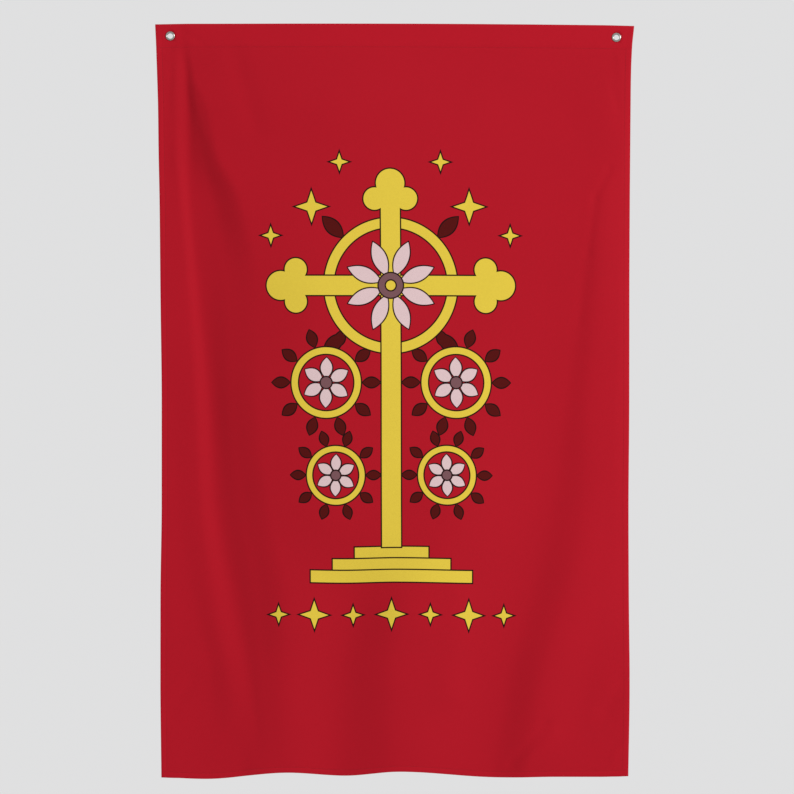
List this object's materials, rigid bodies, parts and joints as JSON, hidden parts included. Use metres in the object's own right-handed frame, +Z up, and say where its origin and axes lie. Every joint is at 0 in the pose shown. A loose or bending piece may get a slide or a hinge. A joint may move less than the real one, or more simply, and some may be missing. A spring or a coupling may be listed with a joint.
{
  "type": "church banner",
  "caption": "Portrait cloth banner with a turned heading and narrow hems, hanging in soft folds from metal eyelets in its top corners.",
  "frame": {"origin": "middle of the banner's top edge, in the plane of the wall that the eyelets' back rings bear on", "axes": "+Z up the banner, +X to the right of someone who faces it, -Y out of the wall towards that person"},
  "size_m": [0.9001, 0.0385, 1.4169],
  "materials": {
    "red_cloth": "matt printed polyester cloth",
    "nickel": "nickel plate, bright with slight wear"
  },
  "bodies": {
    "root": {"cloth": "red_cloth", "heading": "red_cloth", "eyelet_left": "nickel", "eyelet_right": "nickel", "washer_left": "nickel", "washer_right": "nickel"}
  },
  "joints": []
}
